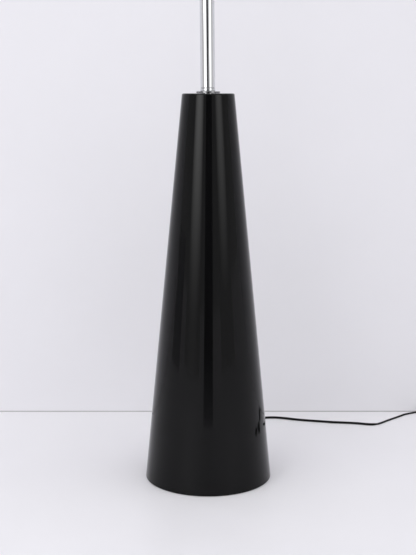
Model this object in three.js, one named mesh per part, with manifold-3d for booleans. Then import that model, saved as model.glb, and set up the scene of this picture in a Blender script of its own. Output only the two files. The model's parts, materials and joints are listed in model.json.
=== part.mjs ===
// Arc floor lamp, drawn in millimetres with +Z up.
// The origin is the centre of the underside of the base, and the arm reaches out towards -X.
import * as THREE from 'three';
import { mergeVertices } from 'three/addons/utils/BufferGeometryUtils.js';
import Module from 'manifold-3d';

const wasm = await Module();
wasm.setup();

// ---------------------------------------------------------------- driving dimensions
const GAP = 0.3; // air between pieces that touch
const DEGREE = Math.PI / 180;

const BASE_RADIUS = 112.5; // base cone at the floor
const TOP_RADIUS = 45; // base cone at its flat top
const BASE_HEIGHT = 680;
const SHELL_THICKNESS = 1.5;
const SHELL_EDGE_RADIUS = 3; // rounded edge around the flat top
const SHELL_FOOT = 0.8; // the shell stops this far above the floor

const PAD_HEIGHT = 3;
const PAD_RADIUS = 106;
const PLATE_HEIGHT = 6;
const BALLAST_TOP = 420;
const CHANNEL_RADIUS = 22; // shaft up the middle of the ballast
const SHAFT_SIDE = 14.5; // the lead runs up the shaft beside the tie rod
const ROD_RADIUS = 6;
const PLATE_SCREWS = 3;
const PLATE_SCREW_CIRCLE = 70;
const PLATE_SCREW_RADIUS = 3;
const PLATE_SCREW_TOP = 36;
const PLATE_SCREW_HEAD = 5.5;
const HEAD_THICKNESS = 3;

const CORD_RADIUS = 2.2; // a round cord of the same section as the flat two-core one
const LEAD_RADIUS = 2.4; // the lead inside the arm and the head
const CORD_EXIT_HEIGHT = 20;
const GLAND_FLANGE = 111.9; // where the gland's flange starts, behind the axis
const GLAND_LENGTH = 38;
const GLAND_RADIUS = 6; // where it passes through the shell
const CORD_TIP = 3.4; // radius of the moulded ends where they meet the cord

const STEM_RADIUS = 12.5;
const STEM_BORE = 11.3;
const STEM_TOP = 1180;
const SPIGOT_FOOT = 484.5; // lower end of the turned piece that carries the stem
const SPIGOT_RADIUS = 12;
const SHOULDER_LOW = 683.9; // its shoulder shows as a short ring under the stem
const SHOULDER_HIGH = 688.6;
const LEAN = 0.57 * DEGREE; // the stem leans towards the load
const LEAN_PIVOT = 615; // height at which the stem crosses the base's axis

const ARM_RADIUS = 10.9;
const ARM_BORE = 9.5;
const ARM_FOOT = 900; // lower end of the arm, inside the stem
const ARC_START = 1240; // height at which the arm begins to bend
const ARC_RADIUS = 600;
const ARC_TURN = 140 * DEGREE;
const ARM_END_LENGTH = 40; // straight stretch after the bend

const KNUCKLE_REACH = 24; // from the arm's end to the tilt pin
const TONGUE_HALF = 4; // half the thickness of the knuckle's tongue
const YOKE_HALF = 10; // half the width of the shade's yoke
const NIPPLE_RADIUS = 4.9; // threaded tube that holds the shade and the lampholder
const NIPPLE_HOLE = 5.4;
const SHADE_RADIUS = 170;
const SHADE_HEIGHT = 163; // height of the dome above its straight rim
const SHADE_LIP = 6; // straight rim
const SHADE_TOP = -62; // top of the shade below the tilt pin
const SHADE_THICKNESS = 0.9;

const CLAMP_SCREW_HEIGHT = 1188;
const SCREW_RADIUS = 3; // the clamp screw and the tilt pin
const SCREW_HOLE = 3.4;
const BUTTON_TRAVEL = 3;

const COIL_CENTRE = new THREE.Vector2(478, 178);
const COIL_MEAN_RADIUS = 27.75;
const COIL_WIDTH = 16.5;
const COIL_LOW = 0.9;
const COIL_HIGH = 10.9;
const SWITCH_CENTRE = new THREE.Vector2(512, 292);
const PLUG_CENTRE_X = 512;
const PLUG_REAR = 106; // y of the flat rear of the plug's body

// ---------------------------------------------------------------- materials
function finish(color, roughness, metalness) {
  return new THREE.MeshStandardMaterial({ color, roughness, metalness });
}

const blackLacquer = () => finish(0x08080a, 0.08, 0);
const chrome = () => finish(0xd5d7da, 0.06, 1);
const plainSteel = () => finish(0x8a8c8f, 0.4, 1);
const brass = () => finish(0xb08d45, 0.3, 1);
const concrete = () => finish(0x8d8a84, 0.95, 0);
const blackRubber = () => finish(0x141414, 0.8, 0);
const blackPlastic = () => finish(0x0b0b0b, 0.35, 0);
const nylon = () => finish(0xdedacb, 0.6, 0);
const opal = () => finish(0xf4f1e8, 0.25, 0);

// ---------------------------------------------------------------- shape helpers
// Keeps only positions, merges shared corners and drops triangles that have no area.
function closed(geometry) {
  geometry.deleteAttribute('normal');
  geometry.deleteAttribute('uv');
  const merged = mergeVertices(geometry, 1e-4);
  const corners = merged.index.array;
  const kept = [];
  for (let i = 0; i < corners.length; i += 3) {
    const [a, b, c] = corners.slice(i, i + 3);
    if (a !== b && b !== c && c !== a) kept.push(a, b, c);
  }
  merged.setIndex(kept);
  return merged;
}

// Turns a profile of [radius, height] points about +Z. The outer side runs upwards.
function turned(profile, sides = 24) {
  const points = profile.map(([radius, height]) => new THREE.Vector2(radius, height));
  return closed(new THREE.LatheGeometry(points, sides).rotateX(Math.PI / 2));
}

function rod(radius, low, high, sides = 16) {
  return turned([[0, low], [radius, low], [radius, high], [0, high]], sides);
}

function ring(outer, inner, low, high, sides = 24) {
  return turned([[inner, low], [outer, low], [outer, high], [inner, high], [inner, low]], sides);
}

// A ring whose two outer edges are rounded.
function roundedRing(outer, inner, low, high, corner, sides = 24) {
  const side = roundedSide(outer, low, high, corner);
  return turned([[inner, low], ...side, [inner, high], [inner, low]], sides);
}

function cornerArc(radius, centre, corner, start) {
  const steps = 2;
  const arc = [];
  for (let i = 0; i <= steps; i++) {
    const angle = (start + (90 * i) / steps) * DEGREE;
    arc.push([radius - corner + corner * Math.cos(angle), centre + corner * Math.sin(angle)]);
  }
  return arc;
}

const roundedTop = (radius, high, corner) => cornerArc(radius, high - corner, corner, 0);

function roundedSide(radius, low, high, corner) {
  return [...cornerArc(radius, low + corner, corner, -90), ...roundedTop(radius, high, corner)];
}

// A flat outline in X and Y, raised from low to high.
function raised(shape, low, high, curveSegments = 4) {
  const depth = high - low;
  const geometry = new THREE.ExtrudeGeometry(shape, { depth, bevelEnabled: false, curveSegments });
  return closed(geometry.translate(0, 0, low));
}

function roundedRectangle(width, length, corner) {
  const shape = new THREE.Shape();
  const x = width / 2 - corner;
  const y = length / 2 - corner;
  shape.absarc(x, y, corner, 0, Math.PI / 2);
  shape.absarc(-x, y, corner, Math.PI / 2, Math.PI);
  shape.absarc(-x, -y, corner, Math.PI, 1.5 * Math.PI);
  shape.absarc(x, -y, corner, 1.5 * Math.PI, 2 * Math.PI);
  shape.closePath();
  return shape;
}

function polygon(radius, sides, turn = 0) {
  const corners = [];
  for (let i = 0; i < sides; i++) {
    const angle = turn + (2 * Math.PI * i) / sides;
    corners.push(new THREE.Vector2(radius * Math.cos(angle), radius * Math.sin(angle)));
  }
  return corners;
}

// A round bar or tube that follows a curve.
function swept(path, steps, radius, bore = 0, sides = 8) {
  const section = new THREE.Shape(polygon(radius, sides));
  if (bore > 0) section.holes.push(new THREE.Path(polygon(bore, sides)));
  return closed(new THREE.ExtrudeGeometry(section, { steps, extrudePath: path }));
}

function solid(geometry) {
  const vertProperties = new Float32Array(geometry.attributes.position.array);
  const triVerts = new Uint32Array(geometry.index.array);
  return new wasm.Manifold(new wasm.Mesh({ numProp: 3, vertProperties, triVerts }));
}

function geometryOf(manifold) {
  const mesh = manifold.getMesh();
  const geometry = new THREE.BufferGeometry();
  geometry.setAttribute('position', new THREE.BufferAttribute(mesh.vertProperties, 3));
  geometry.setIndex(new THREE.BufferAttribute(mesh.triVerts, 1));
  return geometry;
}

function cut(body, ...tools) {
  return geometryOf(tools.reduce((left, tool) => left.subtract(solid(tool)), solid(body)));
}

function joined(body, ...others) {
  return geometryOf(others.reduce((sum, other) => sum.add(solid(other)), solid(body)));
}

function box(width, depth, height, x = 0, y = 0, z = 0) {
  return closed(new THREE.BoxGeometry(width, depth, height).translate(x, y, z));
}

function hexNut(radius, hole, low, high) {
  const outline = new THREE.Shape(polygon(radius, 6));
  outline.holes.push(new THREE.Path(polygon(hole, 16)));
  return raised(outline, low, high);
}

const alongX = (geometry) => geometry.rotateY(Math.PI / 2);
const alongY = (geometry) => geometry.rotateX(-Math.PI / 2);

function place(parent, name, geometry, material) {
  const mesh = new THREE.Mesh(geometry, material);
  mesh.name = name;
  parent.add(mesh);
  return mesh;
}

// ---------------------------------------------------------------- groups
const lamp = new THREE.Group();

// Heights inside the leaning group are the same as in the lamp's own frame.
const leaning = new THREE.Group();
leaning.rotation.y = -LEAN;
leaning.position.set(LEAN_PIVOT * Math.sin(LEAN), 0, LEAN_PIVOT * (1 - Math.cos(LEAN)));
lamp.add(leaning);

// ---------------------------------------------------------------- base
const outerRadiusAt = (z) => BASE_RADIUS + ((TOP_RADIUS - BASE_RADIUS) * z) / BASE_HEIGHT;
const innerRadiusAt = (z) => outerRadiusAt(z) - SHELL_THICKNESS;

function addBase() {
  place(lamp, 'floor_pad', rod(PAD_RADIUS, 0, PAD_HEIGHT, 48), blackRubber());

  const plateLow = PAD_HEIGHT + GAP;
  const plateHigh = plateLow + PLATE_HEIGHT;
  const plateRadius = innerRadiusAt(plateHigh) - 1;
  const screwPlaces = polygon(PLATE_SCREW_CIRCLE, PLATE_SCREWS, Math.PI / 6);
  const atScrews = (shape) => screwPlaces.map(({ x, y }) => shape().translate(x, y, 0));
  const screwHoles = atScrews(() => rod(PLATE_SCREW_RADIUS + 2 * GAP, 0, PLATE_SCREW_TOP + 4, 8));
  const pocketTop = plateLow + HEAD_THICKNESS + 2 * GAP;
  const headPockets = atScrews(() => rod(PLATE_SCREW_HEAD + 0.5, 0, pocketTop, 16));
  const plate = ring(plateRadius, ROD_RADIUS + GAP, plateLow, plateHigh, 32);
  place(lamp, 'base_plate', cut(plate, ...screwHoles, ...headPockets), plainSteel());

  screwPlaces.forEach(({ x, y }, i) => {
    const low = plateLow + 0.2;
    const headTop = low + HEAD_THICKNESS;
    const screw = turned([
      [0, low], [PLATE_SCREW_HEAD, low], [PLATE_SCREW_HEAD, headTop],
      [PLATE_SCREW_RADIUS, headTop], [PLATE_SCREW_RADIUS, PLATE_SCREW_TOP], [0, PLATE_SCREW_TOP],
    ], 8);
    place(lamp, `plate_screw_${i + 1}`, screw.translate(x, y, 0), plainSteel());
  });

  const ballastLow = plateHigh + GAP;
  const wallGap = 0.8;
  const ballast = turned([
    [CHANNEL_RADIUS, ballastLow], [innerRadiusAt(ballastLow) - wallGap, ballastLow],
    [innerRadiusAt(BALLAST_TOP) - wallGap, BALLAST_TOP],
    [CHANNEL_RADIUS, BALLAST_TOP], [CHANNEL_RADIUS, ballastLow],
  ], 48);
  const cordChannel = alongY(rod(8, 5, BASE_RADIUS, 16)).translate(0, 0, CORD_EXIT_HEIGHT);
  place(lamp, 'base_ballast', cut(ballast, cordChannel, ...screwHoles), concrete());

  const washerLow = BALLAST_TOP + GAP;
  const washerHigh = washerLow + 3;
  const washerRadius = 34;
  const nutHigh = washerHigh + 10;
  const rodTop = nutHigh + 5;
  place(lamp, 'tie_rod', rod(ROD_RADIUS, plateLow, rodTop, 16), plainSteel());
  const leadHole = rod(CORD_RADIUS + 1.4, washerLow - 5, washerHigh + 2, 12).translate(0, SHAFT_SIDE, 0);
  const washer = cut(ring(washerRadius, ROD_RADIUS + GAP, washerLow, washerHigh), leadHole);
  place(lamp, 'ballast_washer', washer, plainSteel());
  place(lamp, 'ballast_nut', hexNut(11, ROD_RADIUS + GAP + 0.1, washerHigh + GAP, nutHigh), plainSteel());

  const corner = SHELL_EDGE_RADIUS;
  const inside = BASE_HEIGHT - SHELL_THICKNESS;
  const shell = [[innerRadiusAt(SHELL_FOOT), SHELL_FOOT], [outerRadiusAt(SHELL_FOOT), SHELL_FOOT]];
  const slope = Math.atan2(BASE_RADIUS - TOP_RADIUS, BASE_HEIGHT);
  for (let i = 0; i <= 3; i++) {
    const angle = slope + ((Math.PI / 2 - slope) * i) / 3;
    const centreRadius = outerRadiusAt(BASE_HEIGHT - corner) - corner / Math.cos(slope);
    shell.push([centreRadius + corner * Math.cos(angle), BASE_HEIGHT - corner + corner * Math.sin(angle)]);
  }
  const holeRadius = 15;
  shell.push([holeRadius, BASE_HEIGHT], [holeRadius, inside], [innerRadiusAt(inside) - 2, inside]);
  shell.push([innerRadiusAt(inside - 2), inside - 2], shell[0]);
  const cordHole = alongY(rod(GLAND_RADIUS + 0.5, 90, 130, 16)).translate(0, 0, CORD_EXIT_HEIGHT);
  place(lamp, 'base_cone', cut(turned(shell, 48), cordHole), blackLacquer());

  const collarLow = BASE_HEIGHT + GAP;
  place(lamp, 'collar_washer', roundedRing(20.3, 13.6, collarLow, collarLow + 3.1, 0.8), chrome());
}

// ---------------------------------------------------------------- stem and its bearings
function addStem() {
  const socketLow = 474;
  const floorHigh = 480; // top of the socket's inner floor
  const flangeHigh = BASE_HEIGHT - SHELL_THICKNESS - 0.9;
  const flangeLow = flangeHigh - 5;
  const flangeRadius = 32;
  const socketRadius = 17.5;
  const socketBore = 15;
  const leadPassage = 6.5;
  const socket = turned([
    [leadPassage, socketLow], [socketRadius, socketLow], [socketRadius, flangeLow],
    [flangeRadius, flangeLow], [flangeRadius, flangeHigh], [socketBore, flangeHigh],
    [socketBore, floorHigh], [leadPassage, floorHigh], [leadPassage, socketLow],
  ]);
  place(leaning, 'stem_socket', socket, plainSteel());

  const bushLow = floorHigh + GAP;
  const bushFloor = SPIGOT_FOOT - GAP;
  const bushBore = SPIGOT_RADIUS + GAP;
  const bushRadius = socketBore - GAP;
  const bushHigh = bushLow + 30;
  const bushEye = 8;
  const lowerBush = turned([
    [bushEye, bushLow], [bushRadius, bushLow], [bushRadius, bushHigh], [bushBore, bushHigh],
    [bushBore, bushFloor], [bushEye, bushFloor], [bushEye, bushLow],
  ]);
  place(leaning, 'lower_bush', lowerBush, nylon());
  place(leaning, 'upper_bush', ring(bushRadius, bushBore, flangeHigh - 36, flangeHigh - 1), nylon());

  const leadBore = 5;
  const neck = STEM_BORE - GAP;
  const neckTop = SHOULDER_HIGH + 40;
  const spigot = turned([
    [leadBore, SPIGOT_FOOT], [SPIGOT_RADIUS, SPIGOT_FOOT], [SPIGOT_RADIUS, SHOULDER_LOW],
    ...roundedSide(STEM_RADIUS + 0.2, SHOULDER_LOW, SHOULDER_HIGH, 0.6), [neck, SHOULDER_HIGH],
    [neck, neckTop], [leadBore, neckTop], [leadBore, SPIGOT_FOOT],
  ]);
  place(leaning, 'stem_spigot', spigot, chrome());
  place(leaning, 'stem_tube', ring(STEM_RADIUS, STEM_BORE, SHOULDER_HIGH + GAP, STEM_TOP), chrome());

  const collarLow = STEM_TOP - 20;
  const collarHigh = STEM_TOP + 16;
  const collarRadius = 17;
  const collarBore = STEM_RADIUS + GAP; // over the stem
  const collar = turned([
    [collarBore, collarLow], ...roundedSide(collarRadius, collarLow, collarHigh, 2),
    [STEM_BORE, collarHigh], [STEM_BORE, STEM_TOP + GAP], [collarBore, STEM_TOP + GAP],
    [collarBore, collarLow],
  ]);
  const screwHole = alongX(rod(SCREW_HOLE, 5, 30, 16)).translate(0, 0, CLAMP_SCREW_HEIGHT);
  place(leaning, 'clamp_collar', cut(collar, screwHole), chrome());

  const screwEnd = 29;
  const screw = alongX(rod(SCREW_RADIUS, ARM_RADIUS + GAP, screwEnd, 16));
  place(leaning, 'clamp_screw', screw.translate(0, 0, CLAMP_SCREW_HEIGHT), plainSteel());
  const knob = alongX(thumbKnob(13, 20, 34, screwEnd + GAP));
  place(leaning, 'clamp_knob', knob.translate(0, 0, CLAMP_SCREW_HEIGHT), blackPlastic());
}

// A lobed thumb knob with a blind hole for its screw, upright from low to high.
function thumbKnob(radius, low, high, holeTop) {
  const lobes = 8;
  const lobeDepth = 0.9;
  const points = lobes * 6;
  const corners = [];
  for (let i = 0; i < points; i++) {
    const angle = (2 * Math.PI * i) / points;
    const reach = radius - lobeDepth + lobeDepth * Math.cos(lobes * angle);
    corners.push(new THREE.Vector2(reach * Math.cos(angle), reach * Math.sin(angle)));
  }
  const body = raised(new THREE.Shape(corners), low, high);
  return cut(body, rod(SCREW_RADIUS + GAP, low - 1, holeTop, 16));
}

// ---------------------------------------------------------------- arm
const arcEnd = new THREE.Vector3(
  ARC_RADIUS * (Math.cos(ARC_TURN) - 1), 0, ARC_START + ARC_RADIUS * Math.sin(ARC_TURN));
const outward = new THREE.Vector3(-Math.sin(ARC_TURN), 0, Math.cos(ARC_TURN));
const armEnd = arcEnd.clone().addScaledVector(outward, ARM_END_LENGTH);
const tiltPin = armEnd.clone().addScaledVector(outward, KNUCKLE_REACH);

// The arm's centre line: straight up, round the arc, and straight on.
class ArmLine extends THREE.Curve {
  constructor(low, end) {
    super();
    this.low = low;
    this.straight = ARC_START - low;
    this.arc = ARC_RADIUS * ARC_TURN;
    this.total = this.straight + this.arc + end;
  }

  getPoint(t, target = new THREE.Vector3()) {
    const run = t * this.total;
    if (run < this.straight) return target.set(0, 0, this.low + run);
    if (run > this.straight + this.arc) {
      return target.copy(arcEnd).addScaledVector(outward, run - this.straight - this.arc);
    }
    const angle = (run - this.straight) / ARC_RADIUS;
    return target.set(ARC_RADIUS * (Math.cos(angle) - 1), 0, ARC_START + ARC_RADIUS * Math.sin(angle));
  }
}

function addArm() {
  const tube = swept(new ArmLine(ARM_FOOT, ARM_END_LENGTH), 38, ARM_RADIUS, ARM_BORE, 12);
  place(leaning, 'arm_tube', tube, chrome());
  const lead = swept(new ArmLine(ARM_FOOT - 20, ARM_END_LENGTH - 6), 40, LEAD_RADIUS, 0, 6);
  place(leaning, 'arm_lead', lead, blackPlastic());
  place(leaning, 'arm_guide', ring(ARM_RADIUS, 4, ARM_FOOT - 10, ARM_FOOT - GAP), nylon());

  const end = new THREE.Group();
  end.position.copy(armEnd);
  end.rotation.y = Math.PI - ARC_TURN;
  leaning.add(end);

  const cupLow = -7;
  const cupHigh = 32;
  const cupRadius = 13.4;
  const cupBore = 11.3;
  const cup = turned([
    [0, cupLow], ...roundedSide(cupRadius, cupLow, cupHigh, 2),
    [cupBore, cupHigh], [cupBore, -GAP], [0, -GAP],
  ]);
  const tongueRadius = 9;
  const tongueRoot = cupLow + 2; // inside the cup's floor
  const tongueOutline = new THREE.Shape();
  tongueOutline.moveTo(tongueRadius, tongueRoot);
  tongueOutline.absarc(0, -KNUCKLE_REACH, tongueRadius, 0, -Math.PI, true);
  tongueOutline.lineTo(-tongueRadius, tongueRoot);
  tongueOutline.closePath();
  const tongue = raised(tongueOutline, -TONGUE_HALF, TONGUE_HALF).rotateX(Math.PI / 2);
  const pinHole = alongY(rod(SCREW_HOLE, -20, 20, 16)).translate(0, 0, -KNUCKLE_REACH);
  place(end, 'arm_knuckle', cut(joined(cup, tongue), pinHole), chrome());
}

// ---------------------------------------------------------------- head
function addHead() {
  const head = new THREE.Group();
  head.position.copy(tiltPin);
  head.rotation.y = LEAN; // undoes the lean, so that the shade hangs upright
  leaning.add(head);

  const blockLow = -26;
  const bossLow = -34;
  const nippleTop = -22;
  const earRadius = 11;
  const ear = new THREE.Shape();
  ear.moveTo(earRadius, 0);
  ear.absarc(0, 0, earRadius, 0, Math.PI);
  ear.lineTo(-earRadius, blockLow);
  ear.lineTo(earRadius, blockLow);
  const block = raised(ear, -YOKE_HALF, YOKE_HALF).rotateX(Math.PI / 2);
  const slotWidth = 2 * (TONGUE_HALF + 0.4);
  const slot = box(40, slotWidth, 45, 0, 0, 7.5);
  const pinHole = alongY(rod(SCREW_HOLE, -20, 20, 16));
  const boss = rod(9, bossLow, nippleTop + 2);
  const nippleBore = rod(NIPPLE_RADIUS + GAP, bossLow - 1, nippleTop + 2);
  const leadBore = rod(LEAD_RADIUS + 0.8, bossLow + 4, 0);
  const yoke = cut(joined(block, boss), slot, pinHole, nippleBore, leadBore);
  place(head, 'shade_yoke', yoke, chrome());

  const pinHeadLow = -YOKE_HALF - GAP - HEAD_THICKNESS - 0.1;
  const pinHeadHigh = -YOKE_HALF - GAP;
  const pinEnd = 19;
  const pin = turned([
    [0, pinHeadLow], [6, pinHeadLow], [6, pinHeadHigh], [SCREW_RADIUS, pinHeadHigh],
    [SCREW_RADIUS, pinEnd], [0, pinEnd],
  ], 16);
  place(head, 'tilt_pin', alongY(pin), plainSteel());
  place(head, 'tilt_knob', alongY(thumbKnob(11, YOKE_HALF + 0.4, 23, pinEnd + GAP)), blackPlastic());

  place(head, 'holder_nipple', ring(NIPPLE_RADIUS, 3.4, SHADE_TOP - 14, nippleTop, 16), plainSteel());
  place(head, 'head_lead', rod(LEAD_RADIUS, SHADE_TOP - 22, nippleTop + 1, 8), blackPlastic());

  const capTop = bossLow - GAP;
  const capFoot = SHADE_TOP + GAP;
  const cap = turned([
    [30.8, capFoot], [32, capFoot], [32, capTop - 18], [29, capTop - 11], [22, capTop - 4],
    [14, capTop], [NIPPLE_HOLE, capTop], [NIPPLE_HOLE, capTop - 1.2], [13.4, capTop - 1.2],
    [21.2, capTop - 5], [28, capTop - 11.6], [30.8, capTop - 18.4], [30.8, capFoot],
  ]);
  place(head, 'shade_cap', cap, chrome());

  place(head, 'shade', shadeShell(), blackLacquer());

  const nutHigh = SHADE_TOP - SHADE_THICKNESS - GAP;
  const nutLow = nutHigh - 3;
  place(head, 'shade_nut', hexNut(9, NIPPLE_RADIUS + 0.4, nutLow, nutHigh), brass());
  addLampholder(head, nutLow - GAP);
}

// A spun dome with a flat top and a short straight rim.
function shadeShell() {
  const rim = SHADE_TOP - SHADE_HEIGHT;
  const flat = 26; // radius of the flat top
  const lastAngle = Math.acos(flat / SHADE_RADIUS);
  const scale = SHADE_HEIGHT / Math.sin(lastAngle);
  const inner = SHADE_RADIUS - SHADE_THICKNESS;
  const steps = 7;
  const outside = [];
  const inside = [];
  for (let i = 0; i <= steps; i++) {
    const angle = (lastAngle * i) / steps;
    outside.push([SHADE_RADIUS * Math.cos(angle), rim + scale * Math.sin(angle)]);
    inside.unshift([inner * Math.cos(angle), rim + (scale - SHADE_THICKNESS) * Math.sin(angle)]);
  }
  const foot = rim - SHADE_LIP;
  return turned([
    [inner, foot], [SHADE_RADIUS, foot], ...outside, [NIPPLE_HOLE, SHADE_TOP],
    [NIPPLE_HOLE, SHADE_TOP - SHADE_THICKNESS], ...inside, [inner, foot],
  ], 32);
}

function addLampholder(head, top) {
  const split = top - 18;
  const low = split - 36;
  const radius = 20;
  const hole = NIPPLE_RADIUS + 0.4;
  const holderCap = turned([
    [18.5, split + GAP], [radius, split + GAP], ...roundedTop(radius, top, 5), [hole, top],
    [hole, top - 3], [17, top - 3], [18.5, top - 5], [18.5, split + GAP],
  ]);
  place(head, 'holder_cap', holderCap, blackPlastic());
  const holderBody = turned([
    [17, low], [19, low], [radius, low + 3], [radius, split], [6, split], [6, split - 4],
    [15.6, split - 4], [15.6, low + 2], [17, low],
  ]);
  place(head, 'holder_body', holderBody, blackPlastic());
  place(head, 'holder_screw_shell', ring(15.2, 14.2, low + 4, split - 5), brass());
  place(head, 'centre_contact', rod(4, split - 7.2, split - 1, 12), brass());

  const glassTop = low - 1;
  const capHigh = split - 8;
  const capLow = glassTop + GAP;
  const bulbCap = turned([
    [0, capLow], [13.4, capLow], [13.4, capHigh - 5], [8, capHigh - 1], [4, capHigh], [0, capHigh],
  ]);
  place(head, 'bulb_cap', bulbCap, plainSteel());
  place(head, 'bulb_glass', turned(bulbOutline(glassTop)), opal());
}

// A pear-shaped bulb: a round globe that narrows to its neck.
function bulbOutline(top) {
  const globe = 30;
  const centre = top - 54;
  const neck = 14;
  const outline = [[0, centre - globe]];
  for (let i = 1; i <= 6; i++) {
    const angle = (-90 + 20 * i) * DEGREE;
    outline.push([globe * Math.cos(angle), centre + globe * Math.sin(angle)]);
  }
  outline.push([neck + 5, top - 16], [neck, top - 6], [neck, top], [0, top]);
  return outline;
}

// ---------------------------------------------------------------- cord, switch and plug
function route(points) {
  return new THREE.CatmullRomCurve3(points.map(([x, y, z]) => new THREE.Vector3(x, y, z)));
}

function addCord() {
  const flangeRadius = 9;
  const flangeBack = GLAND_FLANGE + 2.5;
  const glandEnd = GLAND_FLANGE + GLAND_LENGTH;
  const gland = [
    [0, 100], [GLAND_RADIUS, 100], [GLAND_RADIUS, GLAND_FLANGE], [flangeRadius, GLAND_FLANGE],
    [flangeRadius, flangeBack], [5.6, flangeBack], [CORD_TIP, glandEnd], [0, glandEnd],
  ];
  place(lamp, 'cord_gland', alongY(turned(gland, 16)).translate(0, 0, CORD_EXIT_HEIGHT), blackRubber());

  const innerRoute = route([
    [0, 99.5, 20], [0, 75, 20], [0, 50, 20], [0, 33, 20], [0, 21, 23], [0, 15.5, 34], [0, SHAFT_SIDE, 60],
    [0, SHAFT_SIDE, 200], [0, SHAFT_SIDE, 400], [0.3, SHAFT_SIDE, 428], [0.9, 9.5, 448], [1.4, 2, 464],
    [1.35, 0, 480], [1.14, 0, 500], [-0.85, 0, 700], [-2.54, 0, 870],
  ]);
  place(lamp, 'base_lead', swept(innerRoute, 48, CORD_RADIUS, 0, 6), blackPlastic());

  const toSwitch = route([
    [0, 150.2, 20], [0, 163, 19.2], [2, 182, 14.5], [8, 207, 8], [19, 234, 4], [36, 262, 2.7],
    [60, 292.5, 2.5], [88, 319, 2.5], [112, 332, 2.5], [136, 336.5, 2.5], [161, 331.5, 2.5],
    [185, 322, 2.5], [210, 315, 2.5], [234, 309.5, 2.5], [259, 303.5, 2.5], [283, 300.5, 2.5],
    [308, 296, 2.5], [332, 289, 2.5], [345, 289.5, 2.4], [358, 299, 2.3], [373, 315, 2.3],
    [388, 330, 2.3], [403, 344.5, 2.3], [419, 360.5, 2.3], [434, 370.5, 2.3], [448, 377.5, 2.3],
    [462, 381.5, 2.3], [477, 381.5, 2.4], [491, 376.5, 2.5], [502.5, 366, 3.2], [509.5, 357, 4.4],
    [511.7, 353, 5], [512, 349, 5],
  ]);
  place(lamp, 'lamp_cord', swept(toSwitch, 56, CORD_RADIUS), blackPlastic());

  const toCoil = route([[512, 235, 5], [512, 229, 4.2], [512, 220, 2.9], [512, 210, 2.6], [512, 196, 2.8]]);
  place(lamp, 'plug_cord', swept(toCoil, 5, CORD_RADIUS), blackPlastic());
  const coilOuter = COIL_MEAN_RADIUS + COIL_WIDTH / 2;
  const coilInner = COIL_MEAN_RADIUS - COIL_WIDTH / 2;
  const coil = roundedRing(coilOuter, coilInner, COIL_LOW, COIL_HIGH, 3, 28);
  place(lamp, 'cord_coil', coil.translate(COIL_CENTRE.x, COIL_CENTRE.y, 0), blackPlastic());
  const toPlug = route([
    [512, 160, 7.5], [512, 150, 6.4], [512, 141, 6.1], [512, 134, 6.7], [512, 128.5, 7.2],
  ]);
  place(lamp, 'plug_tail', swept(toPlug, 6, CORD_RADIUS), blackPlastic());

  // The tie goes once round the bundle of turns, on the side away from the plug.
  const middle = (COIL_LOW + COIL_HIGH) / 2;
  const tieHeight = 2 * (middle - 0.1);
  const tieOutline = roundedRectangle(COIL_WIDTH + 3.4, tieHeight, 2);
  tieOutline.holes.push(roundedRectangle(COIL_WIDTH + 2.4, tieHeight - 1, 1.6));
  const tie = raised(tieOutline, -3.5, 3.5, 3).rotateX(Math.PI / 2);
  tie.translate(COIL_CENTRE.x - COIL_MEAN_RADIUS, COIL_CENTRE.y, middle);
  place(lamp, 'cord_tie', tie, blackRubber());
}

function addSwitch() {
  const group = new THREE.Group();
  group.position.set(SWITCH_CENTRE.x, SWITCH_CENTRE.y, 0);
  lamp.add(group);
  const width = 38;
  const length = 74;
  const corner = 17;
  const split = 8; // where the tray and the cover meet
  const top = 20;
  const cordHeight = 5;

  const tray = cut(
    raised(roundedRectangle(width, length, corner), GAP, split),
    raised(roundedRectangle(33, 56, 14), 2.5, split + 1));
  const noseStart = 34.2;
  const nose = [[0, 0], [5, 0], [3.6, 22], [0, 22]];
  const front = alongY(turned(nose, 16)).translate(0, noseStart, cordHeight);
  const back = alongY(turned(nose, 16)).rotateZ(Math.PI).translate(0, -noseStart, cordHeight);
  const flat = box(60, 120, 10, 0, 0, split + 5);
  place(group, 'switch_base', cut(joined(tray, front, back), flat), blackPlastic());

  // Three steps, each shorter and narrower than the one below.
  const cover = joined(
    raised(roundedRectangle(width, length, corner), split + GAP, top - 5),
    raised(roundedRectangle(width - 3, length - 4, corner - 1), top - 5.5, top - 2),
    raised(roundedRectangle(width - 8, length - 10, corner - 3), top - 2.5, top));
  const noseRoom = box(11.4, 130, 4, 0, 0, split);
  const hollow = raised(roundedRectangle(31, 56, 14), split - 1, top - 2.6);
  const buttonRadius = 11;
  const buttonHole = rod(buttonRadius + 0.4, 0, 30, 24);
  place(group, 'switch_cover', cut(cover, hollow, buttonHole, noseRoom), blackPlastic());

  const lipRadius = 13; // the button's lip keeps it under the cover
  const lipHigh = top - 3 - GAP;
  const lipLow = lipHigh - 2.4;
  const button = turned([
    [0, lipLow], [lipRadius, lipLow], [lipRadius, lipHigh], [buttonRadius, lipHigh],
    ...roundedTop(buttonRadius, top + 5, 1.5), [0, top + 5],
  ]);
  place(group, 'switch_button', button, blackPlastic());
  const moduleTop = lipLow - BUTTON_TRAVEL - GAP;
  place(group, 'switch_module', box(18, 26, moduleTop - 2.8, 0, 0, (moduleTop + 2.8) / 2), blackPlastic());
}

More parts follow.
